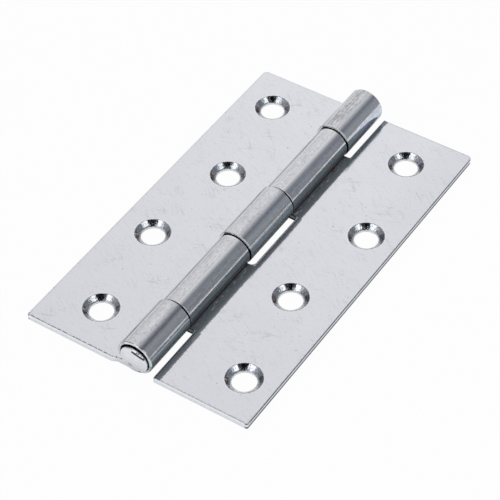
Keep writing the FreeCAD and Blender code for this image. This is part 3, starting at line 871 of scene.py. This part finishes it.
@dataclass(frozen=True)
class ZincPin:
    """Zinc plated pin with hammered heads."""

    colour: Colour = (0.74, 0.76, 0.80)
    inner_shade: Colour = (0.05, 0.05, 0.055)
    dark_mark_and_shade: Colour = (0.045, 0.04, 0.06)
    head_highlight: Colour = (0.99, 0.99, 0.99)
    half_length: float = 49.3
    axis_height: float = 4.35
    # Middle of the chisel slip on the near head, along X and Z, and the way that it runs.
    slit_centre: Tuple[float, float] = (1.45, 6.82)
    slit_way: Tuple[float, float] = (0.955, -0.296)

    def build(self, name: str) -> bpy.types.Material:
        """Make the material.

        Args:
            name: The material's name.

        Returns:
            The material.
        """
        material, graph = new_material(name)
        place = graph.place()
        x, y, z = graph.split(place)
        marks = graph.noise(place, 1.3, 3.0, 0.6)
        scuffs = graph.noise(place, 0.7, 3.0, 0.65).rise(0.48, 0.72)
        inside = abs(y).rise(self.half_length + 0.2, self.half_length - 0.1)
        near = y.rise(-49.5, -50.0)
        # A chisel slip across the near head, with a painted highlight patch above it and a nick at
        # the rim.
        from_x, from_z = x - self.slit_centre[0], z - self.slit_centre[1]
        way_x, way_z = self.slit_way
        along = from_x * way_x + from_z * way_z
        across = from_x * -way_z + from_z * way_x
        slit = along.band(0.0, 1.60, 0.25) * (across + marks * 0.22).band(0.10, 0.24, 0.12)
        patch = along.band(0.1, 1.5, 0.4) * across.band(0.80, 0.42, 0.30) * near
        nick = (x - 1.5).band(0.0, 0.25, 0.15) * (z - 1.42).band(0.0, 0.12, 0.15)
        smudge = (x + 0.9).band(0.0, 0.25, 0.5) * (z - 2.7).band(0.0, 0.15, 0.4) * 0.45
        cut = (slit + nick).least(1.0) * near
        lifted = z - self.axis_height
        radius = (x * x + lifted * lifted).root()
        # A crescent of painted shade round the upper right of the head's edge.
        crescent = (radius + marks * 0.7).rise(4.12, 4.24)
        crescent = crescent * (x * 0.5 + lifted * 0.87).rise(0.9, 2.0)
        coat = Coat(
            graph, self.colour, rough=marks * 0.2 + 0.2,
            height=marks * 0.016 - cut * 0.05 + patch * 0.03)
        coat.dull(scuffs, self.colour, left=0.72, cover=0.50)
        coat.lay(patch, self.head_highlight)
        coat.lay(patch * marks.rise(0.52, 0.57), self.dark_mark_and_shade)
        coat.lay((cut + smudge * near + crescent).least(1.0), self.dark_mark_and_shade)
        # Painted shade: the pin inside the knuckles is black, where it shows through the gaps.
        coat.lay(inside, self.inner_shade)
        coat.finish(1.0)
        return material


@dataclass(frozen=True)
class EdgeRounding:
    """The small rounding that tumbling and plating leave on every edge."""

    width: float = 0.14
    steps: int = 2
    sharp: float = 60.0
    flat: float = 0.3
    same_point: float = 0.001
    flat_face_weight: int = 80

    def round_off(self, piece: bpy.types.Object) -> None:
        """Round the sharp edges of a piece.

        Args:
            piece: The piece, whose own mesh stays as it is.
        """
        weld = piece.modifiers.new("joined_faces", "WELD")
        weld.merge_threshold = self.same_point * MM
        planar = piece.modifiers.new("whole_faces", "DECIMATE")
        planar.decimate_type = "DISSOLVE"
        planar.angle_limit = math.radians(self.flat)
        rounding = piece.modifiers.new("rounded_edges", "BEVEL")
        rounding.width = self.width * MM
        rounding.segments = self.steps
        rounding.limit_method = "ANGLE"
        rounding.angle_limit = math.radians(self.sharp)
        rounding.use_clamp_overlap = False
        rounding.miter_outer = "MITER_ARC"
        shading = piece.modifiers.new("even_shading", "WEIGHTED_NORMAL")
        shading.mode = "FACE_AREA"
        shading.weight = self.flat_face_weight
        shading.keep_sharp = True


@dataclass(frozen=True)
class PhotoCamera:
    """The camera of the photograph, as fitted to its edges, in millimetres and pixels."""

    azimuth: float = 35.07
    elevation: float = 46.127
    roll: float = -2.064
    distance: float = 484.0
    focal_px: float = 2035.59
    target: Triple = (0.874, -3.322, 0.0)
    axis_px: Tuple[float, float] = (252.5, 247.96)
    picture_px: float = 500.0
    sensor_mm: float = 36.0
    # Nearest and furthest that it sees, in metres.
    clip: Tuple[float, float] = (0.01, 20.0)

    def place(self) -> None:
        """Make the camera and make it the scene's."""
        azimuth, elevation = math.radians(self.azimuth), math.radians(self.elevation)
        back = Vector((math.sin(azimuth) * math.cos(elevation),
                       -math.cos(azimuth) * math.cos(elevation), math.sin(elevation)))
        level = Vector((math.cos(azimuth), math.sin(azimuth), 0.0))
        upward = back.cross(level)
        turn = math.radians(self.roll)
        right = level * math.cos(turn) + upward * math.sin(turn)
        up = upward * math.cos(turn) - level * math.sin(turn)
        spot = Vector(self.target) + back * self.distance
        # The middle of the picture is a little off the fitted axis, so the camera is aimed there.
        half = self.picture_px / 2
        off_right, off_up = half - self.axis_px[0], self.axis_px[1] - half
        aim = -back * self.focal_px + right * off_right + up * off_up
        back = -aim.normalized()
        right = (right - back * right.dot(back)).normalized()
        up = back.cross(right)
        data = bpy.data.cameras.new("photo_camera")
        data.sensor_fit = "HORIZONTAL"
        data.sensor_width = self.sensor_mm
        data.lens = self.sensor_mm * self.focal_px / self.picture_px
        data.clip_start, data.clip_end = self.clip
        camera = bpy.data.objects.new("photo_camera", data)
        turned = Matrix((right, up, back)).transposed().to_4x4()
        camera.matrix_world = Matrix.Translation(spot * MM) @ turned
        bpy.context.scene.collection.objects.link(camera)
        bpy.context.scene.camera = camera


@dataclass(frozen=True)
class Lamp:
    """One soft lamp, aimed at the part."""

    name: str
    towards: Triple
    away: float
    wide: float
    high: float
    radiance: float

    def place(self) -> None:
        """Hang the lamp."""
        data = bpy.data.lights.new(self.name, "AREA")
        data.shape = "RECTANGLE"
        data.size = self.wide
        data.size_y = self.high
        data.energy = self.radiance * math.pi * self.wide * self.high
        lamp = bpy.data.objects.new(self.name, data)
        direction = Vector(self.towards).normalized()
        lamp.location = direction * self.away
        lamp.rotation_mode = "QUATERNION"
        lamp.rotation_quaternion = direction.to_track_quat("Z", "Y")
        lamp.visible_camera = False
        bpy.context.scene.collection.objects.link(lamp)


@dataclass(frozen=True)
class Studio:
    """A white table in a room with a wide soft light along the left, and two softboxes in front."""

    # Half the table top's side, and how far it lies below the part, in metres.
    floor_half: float = 1.5
    floor_drop: float = 0.00002
    floor_colour: Colour = (0.95, 0.95, 0.95)
    # How white the table shows to the camera, and how it darkens in reflections near the part.
    glow: float = 0.97
    shade_reach: float = 0.005
    shade_power: float = 1.5
    shade_samples: int = 8
    # Brightness and tint of the room from its right wall (-1) to its left wall (1).
    wall: Tuple[Tuple[float, Colour], ...] = (
        (-1.0, (0.29, 0.308, 0.335)),
        (-0.82, (0.245, 0.262, 0.288)),
        (-0.76, (0.27, 0.288, 0.316)),
        (-0.70, (0.285, 0.304, 0.335)),
        (-0.64, (0.27, 0.29, 0.32)),
        (-0.54, (0.225, 0.243, 0.27)),
        (-0.42, (0.155, 0.165, 0.19)),
        (-0.30, (0.215, 0.227, 0.257)),
        (-0.16, (0.40, 0.415, 0.445)),
        (-0.016, (0.57, 0.58, 0.605)),
        (0.13, (0.70, 0.705, 0.72)),
        (0.27, (0.82, 0.825, 0.835)),
        (0.45, (0.84, 0.84, 0.845)),
        (0.62, (0.79, 0.79, 0.795)),
        (0.77, (0.78, 0.78, 0.79)),
        (0.84, (0.66, 0.662, 0.67)),
        (1.0, (0.60, 0.602, 0.61)),
    )
    # Brightness of that wall at its near and far parts.
    wall_shares: Tuple[float, float] = (0.95, 1.055)
    # The room's ends: where each begins and is full along Y, and its colour.
    ends: Tuple[Tuple[float, float, Colour], ...] = (
        (0.80, 0.92, (0.70, 0.71, 0.73)),
        (0.25, -0.15, (0.30, 0.305, 0.325)),
        (-0.72, -0.80, (0.84, 0.845, 0.86)),
    )
    # The dark opening in front: its direction, its outer and inner reach in degrees, its colour.
    dark_from: Triple = (0.398, -0.567, 0.721)
    dark_reach: Tuple[float, float] = (27.0, 22.0)
    dark: Colour = (0.02, 0.028, 0.028)
    lamps: Tuple[Lamp, ...] = (
        Lamp("left_front_softbox", (-0.220, -0.684, 0.695), 1.2, 0.56, 0.50, 1.5),
        Lamp("right_front_softbox", (0.719, -0.025, 0.695), 1.2, 0.56, 0.50, 1.5),
    )

    def light_room(self) -> None:
        """Make the soft light of the room."""
        world = bpy.data.worlds.new("soft_room")
        bpy.context.scene.world = world
        world.use_nodes = True
        graph = Graph(world.node_tree)
        towards = graph.node("ShaderNodeTexCoord", None, None, "Generated")
        x, y, _ = graph.split(towards)
        stops = [((place + 1.0) / 2.0, tint) for place, tint in self.wall]
        wall = graph.node("ShaderNodeValToRGB", {"stops": stops}, {"Fac": x * -0.5 + 0.5})
        near_wall, far_wall = (
            graph.mix(1.0, wall, (share, share, share), "MULTIPLY") for share in self.wall_shares)
        room = graph.mix(y.rise(0.46, 0.67), near_wall, far_wall)
        for begins, full, colour in self.ends:
            room = graph.mix(y.rise(begins, full), room, colour)
        facing = graph.node(
            "ShaderNodeVectorMath", {"operation": "DOT_PRODUCT"},
            {0: towards, 1: self.dark_from}, "Value")
        shade = facing.rise(*(math.cos(math.radians(reach)) for reach in self.dark_reach))
        background = graph.node(
            "ShaderNodeBackground", None,
            {"Color": graph.mix(shade, room, self.dark), "Strength": 1.0})
        graph.node("ShaderNodeOutputWorld", None, {"Surface": background})

    def lay_floor(self) -> None:
        """Make the white table top, which is not part of the hinge."""
        half = self.floor_half
        mesh = bpy.data.meshes.new("white_table")
        outline = [(-half, -half, 0.0), (half, -half, 0.0), (half, half, 0.0), (-half, half, 0.0)]
        mesh.from_pydata(outline, [], [(0, 1, 2, 3)])
        floor = bpy.data.objects.new("white_table", mesh)
        floor.location.z = -self.floor_drop
        bpy.context.scene.collection.objects.link(floor)
        material, graph = new_material("white_table")
        rays = graph.node("ShaderNodeLightPath").socket.node.outputs
        seen = Sock(graph, rays["Is Camera Ray"]) * self.glow
        # In a reflection the table is darker close to the part, where less of the room lights it.
        open_sky = graph.node(
            "ShaderNodeAmbientOcclusion", {"samples": self.shade_samples},
            {"Distance": self.shade_reach}, "AO")
        for name in ("Is Glossy Ray", "Is Transmission Ray"):
            seen = seen.most(Sock(graph, rays[name]) * open_sky ** self.shade_power)
        matt = graph.node("ShaderNodeBsdfDiffuse", None, {"Color": (*self.floor_colour, 1.0)})
        white = graph.node(
            "ShaderNodeEmission", None, {"Color": (1.0, 1.0, 1.0, 1.0), "Strength": 1.0})
        top = graph.node("ShaderNodeMixShader", None, {0: seen, 1: matt, 2: white})
        graph.node("ShaderNodeOutputMaterial", None, {"Surface": top})
        mesh.materials.append(material)

    def set_up(self) -> None:
        """Make the whole studio."""
        self.light_room()
        self.lay_floor()
        for lamp in self.lamps:
            lamp.place()
        bpy.context.scene.view_settings.view_transform = "Standard"


@dataclass
class Hinge:
    """The hinge's three pieces and their finishes."""

    left: Leaf = Leaf(
        Side.THREE_KNUCKLES, roll_radius=4.65,
        knuckles=((-49.4, -34.1), (-9.0, 9.0), (34.1, 50.0)), rows=(17.2, 21.2),
        near_burr_and_shade=0.9, flank_shade_left=0.79, slot_line=5.34)
    right: Leaf = Leaf(
        Side.TWO_KNUCKLES, roll_radius=4.35,
        knuckles=((-33.5, -9.35), (9.6, 33.75)), rows=(22.5, 18.0),
        near_burr_and_shade=0.45, flank_shade_left=0.54, slot_line=5.55)
    rounding: EdgeRounding = EdgeRounding()

    def dress(self) -> None:
        """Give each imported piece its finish."""
        finishes = {
            "three_knuckle_leaf": ZincSheet(self.left, 11.0),
            "two_knuckle_leaf": ZincSheet(self.right, 47.0),
            "hinge_pin": ZincPin(),
        }
        for node, finish in finishes.items():
            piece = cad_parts[node]
            piece.data.materials.clear()
            piece.data.materials.append(finish.build("zinc_" + node))
            self.rounding.round_off(piece)
            LOG.info("%s dressed in %s", node, type(finish).__name__)


def main() -> None:
    """Build the studio, the camera and the hinge's finishes."""
    logging.basicConfig(level=logging.INFO, format="%(name)s: %(message)s")
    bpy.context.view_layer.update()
    PhotoCamera().place()
    Studio().set_up()
    Hinge().dress()


if __name__ == "__main__":
    main()
